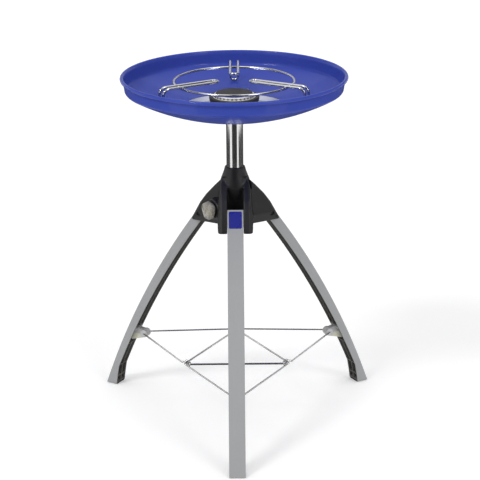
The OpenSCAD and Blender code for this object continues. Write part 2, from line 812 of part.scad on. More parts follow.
// One hairpin: two rods side by side, closed by a bend inside and bent down to a foot
module pot_support() {
  h = support_gap / 2;
  inner = 46;
  bend_at = support_reach - foot_bend;
  floor_here = bowl_cz - sqrt(pow(bowl_r - sheet, 2) - pow(support_reach + wire_r, 2));
  low = round(100 * (floor_here + wire_r + gap + h)) / 100;
  color(steel) {
    for (s = [-1, 1]) {
      translate([inner, s * h, support_z]) rotate([0, 90, 0])
        cylinder(h = bend_at - inner, r = wire_r);
      translate([bend_at, s * h, support_z - foot_bend]) rotate([90, 0, 0])
        rotate_extrude(angle = 90) translate([foot_bend, 0]) circle(wire_r);
      translate([support_reach, s * h, low])
        cylinder(h = support_z - foot_bend - low, r = wire_r);
    }
    translate([inner, 0, support_z]) rotate(90) rotate_extrude(angle = 180)
      translate([h, 0]) circle(wire_r);
    translate([support_reach, 0, low]) rotate([90, 0, 90]) rotate(180)
      rotate_extrude(angle = 180) translate([h, 0]) circle(wire_r);
  }
}

module leg_front() {
  color(grey) rotate(AZ[0]) leg();
}

module badge_front() {
  color(blue) rotate(AZ[0]) badge();
}

module foot_pad_front() {
  color(black) rotate(AZ[0]) foot_pad();
}

module bracket_front() {
  color("beige") rotate(AZ[0]) bracket();
}

module brace_arm_front() {
  color(steel) rotate(AZ[0]) brace_arm();
}

module leg_right() {
  color(grey) rotate(AZ[1]) leg();
}

module badge_right() {
  color(blue) rotate(AZ[1]) badge();
}

module foot_pad_right() {
  color(black) rotate(AZ[1]) foot_pad();
}

module bracket_right() {
  color("beige") rotate(AZ[1]) bracket();
}

module brace_arm_right() {
  color(steel) rotate(AZ[1]) brace_arm();
}

module leg_left() {
  color(grey) rotate(AZ[2]) leg();
}

module badge_left() {
  color(blue) rotate(AZ[2]) badge();
}

module foot_pad_left() {
  color(black) rotate(AZ[2]) foot_pad();
}

module bracket_left() {
  color("beige") rotate(AZ[2]) bracket();
}

module brace_arm_left() {
  color(steel) rotate(AZ[2]) brace_arm();
}

module pot_support_back() {
  rotate(90) pot_support();
}

module pot_support_left() {
  rotate(210) pot_support();
}

module pot_support_right() {
  rotate(330) pot_support();
}

hub_shell();
pivot_pins();
clamp_insert();
clamp_screw();
clamp_knob();
clamp_pad();
post_tube();
post_bush();
post_plug();
dish_pan();
spigot();
burner_screws();
reflector();
burner_body();
burner_ring();
burner_cap();
mixing_tube();
gas_jet();
valve_body();
valve_bracket();
hose_nozzle();
valve_spindle();
gas_knob();
igniter_body();
igniter_button();
electrode();
electrode_tip();
ignition_lead();
pot_ring();
pot_support_back();
pot_support_left();
pot_support_right();
leg_front();
badge_front();
foot_pad_front();
bracket_front();
leg_right();
badge_right();
foot_pad_right();
bracket_right();
leg_left();
badge_left();
foot_pad_left();
bracket_left();
brace_centre();
brace_arm_front();
brace_arm_right();
brace_arm_left();
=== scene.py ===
import math

import bmesh
import bpy
import numpy as np
from mathutils import Matrix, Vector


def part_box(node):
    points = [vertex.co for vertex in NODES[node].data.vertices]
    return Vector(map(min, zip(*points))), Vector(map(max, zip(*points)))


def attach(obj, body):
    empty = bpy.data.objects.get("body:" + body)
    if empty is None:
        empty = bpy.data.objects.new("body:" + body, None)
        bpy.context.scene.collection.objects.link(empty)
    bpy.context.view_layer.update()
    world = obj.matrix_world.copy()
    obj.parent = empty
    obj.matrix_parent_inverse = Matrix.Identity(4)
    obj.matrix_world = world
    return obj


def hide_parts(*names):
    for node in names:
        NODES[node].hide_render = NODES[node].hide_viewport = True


bl_info = {
    "name": "Folding propane burner stand",
    "version": (1, 0, 0),
    "blender": (4, 5, 0),
    "location": "View3D > Sidebar > Stand",
    "description": "Builds the pieces and finishes of a folding burner stand round its frame",
    "category": "Add Mesh",
}

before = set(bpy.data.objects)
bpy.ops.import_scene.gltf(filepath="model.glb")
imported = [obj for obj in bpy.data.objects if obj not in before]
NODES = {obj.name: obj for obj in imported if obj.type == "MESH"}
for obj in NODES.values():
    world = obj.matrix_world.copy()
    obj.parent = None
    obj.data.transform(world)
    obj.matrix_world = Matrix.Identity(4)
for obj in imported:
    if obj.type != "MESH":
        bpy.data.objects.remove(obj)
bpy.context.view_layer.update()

MM = 0.001

# Directions of the legs and of the pot stand's hairpins, in degrees
SIDES = {"front": -90, "right": 30, "left": 150}
SUPPORTS = {"back": 90, "left": 210, "right": 330}


def top_of(node):
    """Highest point of a frame node in millimetres."""
    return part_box(node)[1][2] / MM


def bottom_of(node):
    """Lowest point of a frame node in millimetres."""
    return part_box(node)[0][2] / MM


def radius_of(node):
    """Reach of a frame node along +X in millimetres."""
    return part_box(node)[1][0] / MM


# Heights and radii that the pieces share, in millimetres
RIM_Z = top_of("dish_pan")
RIM_R = radius_of("dish_pan")
FLAT_Z = bottom_of("dish_pan")
POST_LOW = bottom_of("post_tube")
POST_TOP = top_of("post_tube")
POST_R = radius_of("post_tube")
POST_BORE = POST_R - 1.5
POST_FIT = POST_BORE - 0.1
SPIGOT_R = 14.0
RING_Z = (top_of("pot_ring") + bottom_of("pot_ring")) / 2
BURNER_LOW = bottom_of("burner_body")
BURNER_TOP = top_of("burner_body")
BURNER_R = radius_of("burner_body")
TRIM_R = radius_of("burner_ring")
HEAD_TOP = top_of("burner_cap")
FLANGE_R = radius_of("burner_cap")
HEAD_R = FLANGE_R - 2.5
PLATE_R = radius_of("reflector")

# The dish's bottom is part of a ball round a flat middle
FLAT_R = 52.0
BOWL_R = 441.6
BOWL_Z = FLAT_Z + math.sqrt(BOWL_R ** 2 - FLAT_R ** 2)

# The brace lies level. Its centre triangle's sides and its pivots on the brackets are
# these distances from the stand's axis.
BRACE_Z = (top_of("brace_centre") + bottom_of("brace_centre")) / 2
BRACE_INNER = 62.5
BRACE_REACH = 225.86

# A leg's outer face is an arc, whose centre is a distance from the axis and a height.
# The third value is half the leg's width.
LEG_R = 1687.0
LEG_CENTRE = (-1261.0, -589.0)
LEG_HALF = 16.0

# The clamp knob's direction in degrees, the distance of its back from the axis, its height
CLAMP_AZIMUTH = 210
CLAMP_OUT = 54.4
CLAMP_Z = 450.6


# ---------------------------------------------------------------- properties

def linear(red, green, blue):
    """Linear colour of a screen colour that is given from 0 to 255."""
    screen = np.array([red, green, blue]) / 255
    value = np.where(screen <= 0.04045, screen / 12.92, ((screen + 0.055) / 1.055) ** 2.4)
    return tuple(float(v) for v in value)


def length(name, description, default):
    """Length property, given in millimetres and kept in metres."""
    return bpy.props.FloatProperty(
        name=name, description=description, default=default * MM,
        min=0.0, subtype="DISTANCE", unit="LENGTH", precision=5)


def share(name, description, default):
    """Property from 0 to 1."""
    return bpy.props.FloatProperty(
        name=name, description=description, default=default,
        min=0.0, max=1.0, subtype="FACTOR")


def tone(name, description, red, green, blue):
    """Colour property, given as a screen colour from 0 to 255."""
    return bpy.props.FloatVectorProperty(
        name=name, description=description, default=linear(red, green, blue),
        min=0.0, max=1.0, size=3, subtype="COLOR")


class StandSizes(bpy.types.PropertyGroup):
    """Sizes of the pieces' visible detail."""

    bead: length("Rim bead", "Radius of the rolled bead round the dish", 3.6)
    sheet: length("Dish sheet", "Thickness of the dish's sheet", 1.6)
    corner: length("Dish corner", "Radius between the dish's bottom and its wall", 6.5)
    ring_wire: length("Pot wire", "Radius of the pot stand's wire", 2.5)
    ring_radius: length("Pot ring", "Radius of the pot stand's ring", 119)
    rod: length("Brace rod", "Radius of the brace's rods", 1.75)
    centre_wire: length("Brace centre wire", "Radius of the brace's centre triangle wire", 2.0)
    cap: length("Pivot cap", "Radius of the round caps at the brace pivots", 8.4)
    knob: length("Clamp knob", "Mean radius of the clamp knob", 18.8)
    lobe: length("Clamp knob lobe", "How far each lobe of the clamp knob stands out", 1.9)
    hub_cell: length("Hub cell", "Size of the cells that the hub is rounded with", 1.5)
    leg_edge: length("Leg edge", "Radius of the legs' edges", 1.1)
    small_edge: length("Small edge", "Radius of the small parts' edges", 0.7)
    # The marbling strength also sets how strongly the painted glints show, because the pale
    # veins stand in for them.
    marbling: share("Marbling", "How strongly the clamp knob's veins show", 0.38)
    orange_peel: share("Orange peel", "How strongly the enamel ripples", 0.12)


class StandColours(bpy.types.PropertyGroup):
    """Colours of the finishes."""

    enamel: tone("Enamel", "Dish enamel", 57, 74, 168)
    badge: tone("Badge", "Blank inlay on each leg", 34, 40, 138)
    leg: tone("Leg", "Outside of the legs", 158, 159, 160)
    leg_inside: tone("Leg inside", "Ribbed inner side of the legs", 88, 87, 84)
    hub: tone("Hub", "Moulded hub", 22, 22, 23)
    bracket: tone("Bracket", "Brace brackets", 200, 199, 182)
    bracket_top: tone("Bracket top", "Upper part of the brace brackets", 166, 165, 166)
    knob: tone("Clamp knob", "Body of the clamp knob", 150, 147, 135)
    # The pale vein colour is partly the knob's marbling and partly painted glints: bright
    # streaks that stand in for light caught on its crumpled facets.
    knob_vein_and_glint: tone("Clamp knob veins and glints", "Pale veins of the clamp knob", 232, 228, 214)
    knob_dark: tone("Clamp knob shade", "Dark patches of the clamp knob", 106, 103, 86)
    cap: tone("Pivot cap", "Round caps at the brace pivots", 188, 188, 190)
    steel: tone("Steel", "Brushed steel of the small parts", 205, 204, 200)
    # The reflector colour is steel with a painted blue reflection of the dish mixed into it.
    reflector: tone("Reflector with painted reflection", "Bright plate round the burner", 190, 194, 214)
    head: tone("Burner head", "Side and rim of the burner's head", 240, 238, 232)
    ports: tone("Burner ports", "Rims of the burner's ports", 120, 118, 114)
    chrome: tone("Chrome", "Plated wire and post", 226, 226, 226)
    brass: tone("Brass", "Gas fittings", 196, 160, 92)
    iron: tone("Burner iron", "Burner bowl, trim ring and lid", 46, 44, 43)
    black_plastic: tone("Black plastic", "Small black mouldings", 26, 26, 27)
    red_plastic: tone("Red plastic", "Igniter button", 176, 30, 26)
    ceramic: tone("Ceramic", "Electrode insulator", 236, 232, 222)
    rubber: tone("Rubber", "Foot pads", 24, 24, 24)
    floor: tone("Floor", "Plain floor under the stand", 244, 244, 244)


# ---------------------------------------------------------------- surfaces

def grid_quads(rows, columns, wrap_rows, wrap_columns):
    """Quads between neighbouring points of a rows by columns grid. A wrapped
    direction joins its last line to its first."""
    i = np.arange(rows if wrap_rows else rows - 1)
    j = np.arange(columns if wrap_columns else columns - 1)
    a, b = np.meshgrid(i, j, indexing="ij")
    a1, b1 = (a + 1) % rows, (b + 1) % columns
    corners = [a * columns + b, a1 * columns + b, a1 * columns + b1, a * columns + b1]
    return np.stack(corners, -1).reshape(-1, 4)


def rounded(points, radius, steps=6, closed=False):
    """Polyline whose corners are arcs: at each corner the arc of the given radius
    that touches both sides, made smaller where a side is too short for it."""
    p = np.asarray(points, float)
    count = len(p)
    radii = np.broadcast_to(radius, count)
    parts = []
    for k in range(count):
        here = p[k]
        if not closed and k in (0, count - 1):
            parts.append(here[None])
            continue
        u, v = p[k - 1] - here, p[(k + 1) % count] - here
        lu, lv = np.linalg.norm(u), np.linalg.norm(v)
        u, v = u / lu, v / lv
        half = math.acos(np.clip(u @ v, -1, 1)) / 2
        if radii[k] <= 0 or half > math.pi / 2 - 0.01:
            parts.append(here[None])
            continue
        r = min(radii[k], 0.49 * min(lu, lv) * math.tan(half))
        middle = here + (u + v) / np.linalg.norm(u + v) * r / math.sin(half)
        touch = r / math.tan(half)
        start, end = here + u * touch - middle, here + v * touch - middle
        turn = math.pi - 2 * half
        w = np.linspace(0, 1, steps + 1)[:, None]
        arc = np.sin((1 - w) * turn) * start + np.sin(w * turn) * end
        parts.append(middle + arc / math.sin(turn))
    return np.vstack(parts)


def revolve(section, steps, closed=False):
    """Surface of revolution about Z: point (r, z) of the section at angle t is
    (r cos t, r sin t, z). A closed section is a loop, an open one ends on the axis."""
    t = np.linspace(0, 2 * math.pi, steps, endpoint=False)
    r, z = section[:, :1], section[:, 1:]
    points = np.stack([r * np.cos(t), r * np.sin(t), z + 0 * t], -1)
    return points.reshape(-1, 3), grid_quads(len(section), steps, closed, True)


def carried_frames(tangents):
    """Side vectors that turn as little as they can along a path."""
    first = np.eye(3)[np.argmin(np.abs(tangents[0]))]
    side = np.cross(tangents[0], first)
    side /= np.linalg.norm(side)
    sides = [side]
    for tangent in tangents[1:]:
        side = side - tangent * (side @ tangent)
        side = side / np.linalg.norm(side)
        sides.append(side)
    return np.array(sides)


def steadied(path, radius, closed):
    """The path with two more stations, 1.2 radii from the ends of each straight that is
    longer than 6 radii, so that the shading of a bend doesn't run into the straight."""
    start = path if closed else path[:-1]
    run = (np.roll(path, -1, 0) if closed else path[1:]) - start
    size = np.linalg.norm(run, axis=1)[:, None]
    near = 1.2 * radius / size
    stations = np.stack([start, start + run * near, start + run * (1 - near)], 1)
    stay = np.hstack([size > 0, size > 6 * radius, size > 6 * radius])
    return stations[stay] if closed else np.vstack([stations[stay], path[-1:]])


def sweep(path, radius, steps=16, closed=False):
    """Round wire along a path: at each station a circle of the radius in the plane
    across the path. Open ends are closed by a chamfered flat; on a closed path the
    frames' left-over turn is shared out along it."""
    path = np.asarray(path, float)
    keep = np.ones(len(path), bool)
    keep[1:] = np.linalg.norm(np.diff(path, axis=0), axis=1) > 1e-4
    path = steadied(path[keep], radius, closed)
    radii = np.full(len(path), float(radius))
    if closed:
        ahead = np.roll(path, -1, 0) - np.roll(path, 1, 0)
    else:
        ahead = np.gradient(path, axis=0)
    tangents = ahead / np.linalg.norm(ahead, axis=1)[:, None]
    if not closed:
        start, end = tangents[0], tangents[-1]
        chamfer = 0.25 * radius
        path = np.vstack([path[:1], path[:1], path[:1] + start * chamfer, path[1:-1],
                          path[-1:] - end * chamfer, path[-1:], path[-1:]])
        tangents = np.vstack([start, start, start, tangents[1:-1], end, end, end])
        radii = np.concatenate([[0, radius - chamfer, radius], radii[1:-1],
                                [radius, radius - chamfer, 0]])
    side = carried_frames(tangents)
    up = np.cross(tangents, side)
    t = np.linspace(0, 2 * math.pi, steps, endpoint=False)
    phase = np.zeros((len(path), 1))
    if closed:
        last = side[-1] - tangents[0] * (side[-1] @ tangents[0])
        left = math.atan2(last @ up[0], last @ side[0])
        phase = -left * np.linspace(0, 1, len(path), endpoint=False)[:, None]
    angle = t + phase
    ring = np.cos(angle)[..., None] * side[:, None] + np.sin(angle)[..., None] * up[:, None]
    points = path[:, None] + radii[:, None, None] * ring
    return points.reshape(-1, 3), grid_quads(len(path), steps, closed, True)


def turned(part, degrees):
    """The same surface turned about the stand's axis."""
    points, faces = part
    a = math.radians(degrees)
    turn = np.array([[math.cos(a), -math.sin(a), 0], [math.sin(a), math.cos(a), 0], [0, 0, 1]])
    return points @ turn.T, faces


def laid(part, origin, axis):
    """The same surface with its Z axis along the given axis and its origin moved."""
    points, faces = part
    z = np.asarray(axis, float) / np.linalg.norm(axis)
    x = np.cross([0, 0, 1.0], z) if abs(z[2]) < 0.9 else np.array([1.0, 0, 0])
    x = x / np.linalg.norm(x)
    y = np.cross(z, x)
    return points @ np.array([x, y, z]) + np.asarray(origin, float), faces


def joined(parts):
    """Several surfaces as one list of points and one of faces."""
    points, faces, start = [], [], 0
    for p, f in parts:
        points.append(p)
        faces.append(f + start)
        start += len(p)
    return np.vstack(points), np.vstack(faces)


def place(obj, body, stands_for, material):
    """Gives a piece its finish and its body, and hides the frame nodes that it stands for."""
    for each in material if isinstance(material, (list, tuple)) else [material]:
        obj.data.materials.append(each)
    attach(obj, body)
    if stands_for:
        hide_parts(*stands_for)
    return obj


def smooth(mesh):
    """Shades every face of a mesh smooth and gives it the first finish."""
    mesh.polygons.foreach_set("use_smooth", np.ones(len(mesh.polygons), bool))
    mesh.polygons.foreach_set("material_index", np.zeros(len(mesh.polygons), np.int32))


def shown(name, work, mesh, sharp):
    """Object with the faces that were worked on, shaded smooth but for the edges that
    are sharper than an angle in degrees."""
    work.to_mesh(mesh)
    work.free()
    smooth(mesh)
    mesh.set_sharp_from_angle(angle=math.radians(sharp))
    obj = bpy.data.objects.new(name, mesh)
    bpy.context.scene.collection.objects.link(obj)
    return obj


def piece(name, parts, body, stands_for, material):
    """A new piece from surfaces in millimetres: doubles merged, so that poles and
    seams close, and every face turned outwards."""
    points, faces = joined(parts)
    mesh = bpy.data.meshes.new(name)
    mesh.from_pydata((points * MM).tolist(), [], faces.tolist())
    work = bmesh.new()
    work.from_mesh(mesh)
    bmesh.ops.remove_doubles(work, verts=work.verts, dist=1e-6)
    bmesh.ops.dissolve_degenerate(work, edges=work.edges, dist=1e-7)
    bmesh.ops.recalc_face_normals(work, faces=work.faces)
    return place(shown(name, work, mesh, 50), body, stands_for, material)


def spun(name, section, steps, body, stands_for, material, closed=False):
    """A new piece of revolution from its section."""
    part = revolve(section, steps, closed)
    return piece(name, [part], body, stands_for, material)


def merged_copy(name, nodes):
    """Object with the merged faces of frame nodes, flat parts joined to single faces."""
    work = bmesh.new()
    for node in nodes:
        work.from_mesh(NODES[node].data)
    bmesh.ops.remove_doubles(work, verts=work.verts, dist=2e-6)
    bmesh.ops.dissolve_limit(work, angle_limit=math.radians(0.4), verts=work.verts,
                             edges=work.edges, delimit={"NORMAL"})
    return shown(name, work, bpy.data.meshes.new(name), 35)


def apply_modifiers(obj):
    """Turns the modified shape into the object's own mesh."""
    graph = bpy.context.evaluated_depsgraph_get()
    mesh = bpy.data.meshes.new_from_object(obj.evaluated_get(graph))
    obj.modifiers.clear()
    old, obj.data = obj.data, mesh
    bpy.data.meshes.remove(old)
    return obj


def softened(name, nodes, width, body, material, segments=2, angle=35):
    """Copy of frame nodes with rounded edges: a bevel of the given width in metres
    on every edge sharper than the angle."""
    obj = merged_copy(name, nodes)
    bevel = obj.modifiers.new("rounded edges", "BEVEL")
    bevel.width = width
    bevel.segments = segments
    bevel.limit_method = "ANGLE"
    bevel.angle_limit = math.radians(angle)
    bevel.use_clamp_overlap = True
    bevel.harden_normals = True
    return place(apply_modifiers(obj), body, nodes, material)


def moulded(name, nodes, cell, passes, body, material):
    """Copy of frame nodes with every edge and inner corner blended: the solid is
    rebuilt from cells of the given size and smoothed."""
    obj = merged_copy(name, nodes)
    remesh = obj.modifiers.new("cells", "REMESH")
    remesh.mode = "VOXEL"
    remesh.voxel_size = cell
    remesh.use_smooth_shade = True
    blend = obj.modifiers.new("blend", "SMOOTH")
    blend.factor = 0.5
    blend.iterations = passes
    obj = apply_modifiers(obj)
    smooth(obj.data)
    return place(obj, body, nodes, material)


# ---------------------------------------------------------------- finishes

class Tree:
    """Short way to add nodes to a tree and to join them."""

    def __init__(self, tree):
        self.tree = tree
        self.shader = tree.nodes.get("Principled BSDF")

    def fill(self, node, values):
        """Links each value that is a socket to the node's input and sets any other."""
        for key, value in values.items():
            if isinstance(value, bpy.types.NodeSocket):
                self.tree.links.new(value, node.inputs[key])
            else:
                node.inputs[key].default_value = value

    def add(self, kind, values=None, **settings):
        """Adds a node with its settings and its inputs."""
        node = self.tree.nodes.new(kind)
        for key, value in settings.items():
            setattr(node, key, value)
        self.fill(node, values or {})
        return node

    def group(self, shared, values):
        """Outputs of a shared group."""
        return self.add("ShaderNodeGroup", values, node_tree=shared).outputs

    def bump(self, height, depth):
        """Normal of a surface that the height lifts by up to the depth, in metres."""
        values = {"Height": height, "Strength": 1.0, "Distance": depth}
        return self.add("ShaderNodeBump", values).outputs["Normal"]

    def coordinates(self):
        """Object coordinates."""
        return self.add("ShaderNodeTexCoord").outputs["Object"]

    def background_rays(self):
        """1 for the rays that show the background, 0 for those that light the stand."""
        path = self.add("ShaderNodeLightPath").outputs
        mirrored = self.math("MAXIMUM", path["Is Glossy Ray"], path["Is Transmission Ray"])
        return self.math("MAXIMUM", path["Is Camera Ray"], mirrored)

    def math(self, operation, a, b=0.0):
        """Value of a math node."""
        return self.add("ShaderNodeMath", {0: a, 1: b}, operation=operation).outputs[0]

    def mix(self, factor, a, b):
        """Colour between a and b."""
        return self.add("ShaderNodeMix", {0: factor, 6: a, 7: b}, data_type="RGBA").outputs[2]

    def noise(self, vector, scale, detail=2.0, roughness=0.5):
        """Value of a noise texture."""
        values = {"Vector": vector, "Scale": scale, "Detail": detail, "Roughness": roughness}
        return self.add("ShaderNodeTexNoise", values).outputs["Fac"]

    def span(self, value, low, high, to_low=0.0, to_high=1.0):
        """Value mapped from one range to another and held inside it."""
        values = {"Value": value, 1: low, 2: high, 3: to_low, 4: to_high}
        return self.add("ShaderNodeMapRange", values).outputs["Result"]


def shared_group(name, numbers, outputs, build):
    """Shader node group with a vector and named numbers in and named values out,
    made once."""
    found = bpy.data.node_groups.get(name)
    if found:
        return found
    made = bpy.data.node_groups.new(name, "ShaderNodeTree")
    made.interface.new_socket("Vector", in_out="INPUT", socket_type="NodeSocketVector")
    for key, value in numbers.items():
        socket = made.interface.new_socket(key, in_out="INPUT", socket_type="NodeSocketFloat")
        socket.default_value = value
    for key in outputs:
        made.interface.new_socket(key, in_out="OUTPUT", socket_type="NodeSocketFloat")
    tree = Tree(made)
    entry = tree.add("NodeGroupInput").outputs
    tree.add("NodeGroupOutput", build(tree, entry))
    return made


def grain_group():
    """Fine moulded grain: two sizes of noise added."""
    def build(tree, entry):
        fine = tree.noise(entry["Vector"], entry["Scale"], 3.0, 0.6)
        coarse = tree.noise(entry["Vector"], tree.math("MULTIPLY", entry["Scale"], 0.31))
        return {"Height": tree.math("ADD", fine, tree.math("MULTIPLY", coarse, 0.6))}
    return shared_group("moulded grain", {"Scale": 900.0}, ["Height"], build)


def patch_group():
    """Soft patches: noise pushed between a low and a high limit."""
    def build(tree, entry):
        value = tree.noise(entry["Vector"], entry["Scale"], 4.0, 0.55)
        return {"Mask": tree.span(value, entry["Low"], entry["High"])}
    return shared_group("handling patches", {"Scale": 12.0, "Low": 0.35, "High": 0.7},
                        ["Mask"], build)


def vein_group():
    """Marbling: thin pale veins where warped cells meet, and broad dark patches."""
    def build(tree, entry):
        scale = entry["Scale"]
        warp = tree.add("ShaderNodeTexNoise",
                        {"Vector": entry["Vector"], "Scale": scale, "Detail": 3.0})
        moved = tree.mix(0.012, entry["Vector"], warp.outputs["Color"])
        cells = tree.add("ShaderNodeTexVoronoi", {"Vector": moved, "Scale": scale},
                         feature="DISTANCE_TO_EDGE")
        vein = tree.span(cells.outputs["Distance"], 0.0, 0.09, 1.0, 0.0)
        patch = tree.span(tree.noise(moved, scale, 5.0, 0.65), 0.45, 0.66)
        return {"Vein": vein, "Patch": patch, "Height": tree.math("SUBTRACT", vein, patch)}
    return shared_group("marbling", {"Scale": 95.0}, ["Vein", "Patch", "Height"], build)


def new_material(name, values):
    """New material, whose shader has the given inputs, and its tree."""
    made = bpy.data.materials.new(name)
    made.use_nodes = True
    tree = Tree(made.node_tree)
    tree.fill(tree.shader, values)
    return made, tree


def finish(name, colour, roughness, metallic=0.0, coat=0.0, specular=0.5, shade=0.86,
           patch_scale=14.0, spread=0.1, grain=900.0, depth=0.0, stretch=(1, 1, 1)):
    """Material with patches that shade its colour and roughness, and a bump of fine
    grain, depth millimetres deep. stretch draws the pattern out, as brushing does."""
    found = bpy.data.materials.get(name)
    if found:
        return found
    made, tree = new_material(name, {"Metallic": metallic, "Coat Weight": coat,
                                     "Coat Roughness": 0.06, "Specular IOR Level": specular})
    mapping = tree.add("ShaderNodeMapping", {"Vector": tree.coordinates(), "Scale": stretch})
    drawn = mapping.outputs["Vector"]
    mask = tree.group(patch_group(), {"Vector": drawn, "Scale": patch_scale})["Mask"]
    darker = [value * shade for value in colour]
    rougher = min(1.0, roughness + spread)
    tree.fill(tree.shader, {"Base Color": tree.mix(mask, (*colour, 1.0), (*darker, 1.0)),
                            "Roughness": tree.span(mask, 0.0, 1.0, roughness, rougher)})
    if depth:
        height = tree.group(grain_group(), {"Vector": drawn, "Scale": grain})["Height"]
        tree.fill(tree.shader, {"Normal": tree.bump(height, depth * MM)})
    return made


def base_colour(tree):
    """The socket that gives a finish its colour."""
    return tree.shader.inputs["Base Color"].links[0].from_socket


def marbled_finish(colours, strength):
    """Clamp knob finish: veins lighten and patches darken the body colour, and both
    show in the bump. The pale veins are partly marbling and partly painted glints."""
    made = finish("marbled knob plastic with painted glints", colours.knob, 0.22, coat=0.6, shade=0.85,
                  patch_scale=60.0, spread=0.14)
    tree = Tree(made.node_tree)
    marbling = tree.group(vein_group(), {"Vector": tree.coordinates()})
    patches = tree.math("MULTIPLY", marbling["Patch"], strength)
    # The pale veins are partly marbling and partly painted glints.
    veins_and_glints = tree.math("MULTIPLY", marbling["Vein"], strength)
    shaded = tree.mix(patches, base_colour(tree), (*colours.knob_dark, 1.0))
    veined = tree.mix(veins_and_glints, shaded, (*colours.knob_vein_and_glint, 1.0))
    tree.fill(tree.shader, {"Base Color": veined,
                            "Normal": tree.bump(marbling["Height"], 0.5 * MM)})
    return made


def bracket_finish(colours):
    """Two-tone bracket plastic: the upper part is greyer than the wedge below."""
    made = finish("bracket plastic", colours.bracket, 0.45, shade=0.93, patch_scale=70.0,
                  grain=700.0, depth=0.05)
    tree = Tree(made.node_tree)
    height = tree.add("ShaderNodeSeparateXYZ", {0: tree.coordinates()}).outputs["Z"]
    upper = tree.span(height, (BRACE_Z - 4) * MM, (BRACE_Z - 1) * MM)
    colour = tree.mix(upper, base_colour(tree), (*colours.bracket_top, 1.0))
    tree.fill(tree.shader, {"Base Color": colour})
    return made


def enamel_finish(colours, sizes):
    """Glossy enamel with a slight ripple under a clear top."""
    return finish("blue enamel", colours.enamel, 0.3, coat=0.2, specular=0.1, shade=0.95,
                  patch_scale=9.0, spread=0.06, grain=130.0, depth=0.35 * sizes.orange_peel)


def chrome_finish(colours):
    """Plated steel."""
    return finish("chrome plate", colours.chrome, 0.1, metallic=1.0, shade=0.93,
                  patch_scale=40.0, spread=0.08)


def brushed_finish(colours):
    """Steel with fine lines across its height."""
    return finish("brushed steel", colours.steel, 0.24, metallic=1.0, shade=0.85,
                  patch_scale=25.0, spread=0.14, grain=300.0, depth=0.02, stretch=(1, 1, 8))


def brass_finish(colours):
    """Turned brass."""
    return finish("turned brass", colours.brass, 0.22, metallic=1.0, shade=0.8,
                  patch_scale=60.0, spread=0.16, grain=500.0, depth=0.02)


def black_finish(colours):
    """Small black mouldings."""
    return finish("black plastic", colours.black_plastic, 0.42, shade=1.5, patch_scale=60.0,
                  grain=1200.0, depth=0.04)


def node_finish(node, material):
    """Gives a finish to a frame node that is shown as it is."""
    data = NODES[node].data
    data.materials.clear()
    data.materials.append(material)


# ---------------------------------------------------------------- pieces

class StandOperator:
    """What the stand's operators share."""

    bl_options = {"REGISTER", "UNDO"}


def dish_section(bead, sheet, corner):
    """Outline of the dish, from the axis out under it, round the rim's bead and back
    inside it: flat middle, ball-shaped bottom, rounded corner and a wall that leans out."""
    wall = RIM_R - 2 * bead + 0.4
    foot, head = wall - 2, wall - 0.4
    foot_z = RIM_Z - 29.1
    head_z = foot_z + 11.6
    bead_r, bead_z = RIM_R - bead, RIM_Z - bead

    def bottom(radius, reach):
        """Part of a ball: the height at distance r from the axis."""
        r = np.linspace(FLAT_R, reach, 40)
        return np.stack([r, BOWL_Z - np.sqrt(radius ** 2 - r ** 2)], 1)

    outer = bottom(BOWL_R, wall - 13)
    inner = bottom(BOWL_R - sheet, wall - 16)[::-1]
    inner_z = BOWL_Z - math.sqrt((BOWL_R - sheet) ** 2 - (foot - sheet) ** 2)
    outer_corner = rounded([outer[-1], [foot, foot_z], [head, head_z]], corner, 8)
    inner_corner = rounded([[head - sheet, head_z], [foot - sheet, inner_z], inner[0]],
                           corner + 2, 8)
    turn = np.radians(np.linspace(-125, 165, 26))
    rolled = np.stack([bead_r + bead * np.cos(turn), bead_z + bead * np.sin(turn)], 1)
    neck = [[wall - 0.1, bead_z - 6.6], [wall, bead_z - 4.8], [wall + 0.3, bead_z - 3.9]]
    inner_neck = [[wall - 0.9, bead_z - 0.6], [wall - sheet + 0.1, bead_z - 2.6],
                  [wall - sheet, bead_z - 5]]
    flat = FLAT_R - 12
    return np.vstack([[[0, FLAT_Z], [flat, FLAT_Z]], outer, outer_corner[1:], neck, rolled,
                      inner_neck, inner_corner[:-1], inner,
                      [[flat, FLAT_Z + sheet], [0, FLAT_Z + sheet]]])


class STAND_OT_dish(StandOperator, bpy.types.Operator):
    """Spun dish: flat middle, round bottom, upright wall and rolled bead"""

    bl_idname = "stand.dish"
    bl_label = "Dish"

    def execute(self, context):
        sizes, colours = context.scene.stand_sizes, context.scene.stand_colours
        section = dish_section(sizes.bead / MM, sizes.sheet / MM, sizes.corner / MM)
        spun("dish_shell", section, 216, "dish", ["dish_pan"],
             enamel_finish(colours, sizes))
        return {"FINISHED"}


def reflector_section():
    """Outline of the pressed plate under the burner: it rises from its middle, levels out
    near the rim and turns down in a short skirt."""
    sheet, low = 0.8, FLAT_Z + 1.6
    well, slope, edge, skirt = 44, PLATE_R - 20, PLATE_R - 3, PLATE_R - sheet
    slope_z, edge_z = low + 8.8, low + 14
    skirt_z = slope_z + sheet
    plate = rounded([[well, low + sheet], [slope, slope_z + sheet], [edge, edge_z + sheet],
                     [PLATE_R, edge_z + sheet], [PLATE_R, skirt_z], [skirt, skirt_z],
                     [skirt, edge_z - 0.2], [edge, edge_z], [slope, slope_z], [well, low]],
                    [0, 9, 4, 1.4, 0.2, 0.2, 1, 4, 9, 0], 5)
    return np.vstack([[[0, low + sheet]], plate, [[0, low]]])


def bowl_section():
    """Outline of the burner's bowl: closed below and open above."""
    low, top, side = BURNER_LOW, BURNER_TOP, BURNER_R
    bore, bottom = side - 3.5, low + 4
    return rounded([[0, low], [side - 5, low], [side, low + 6], [side, top], [bore, top],
                    [bore, bottom + 5], [bore - 4.5, bottom], [0, bottom]],
                   [0, 3, 3, 0.6, 0.6, 2, 2, 0], 5)


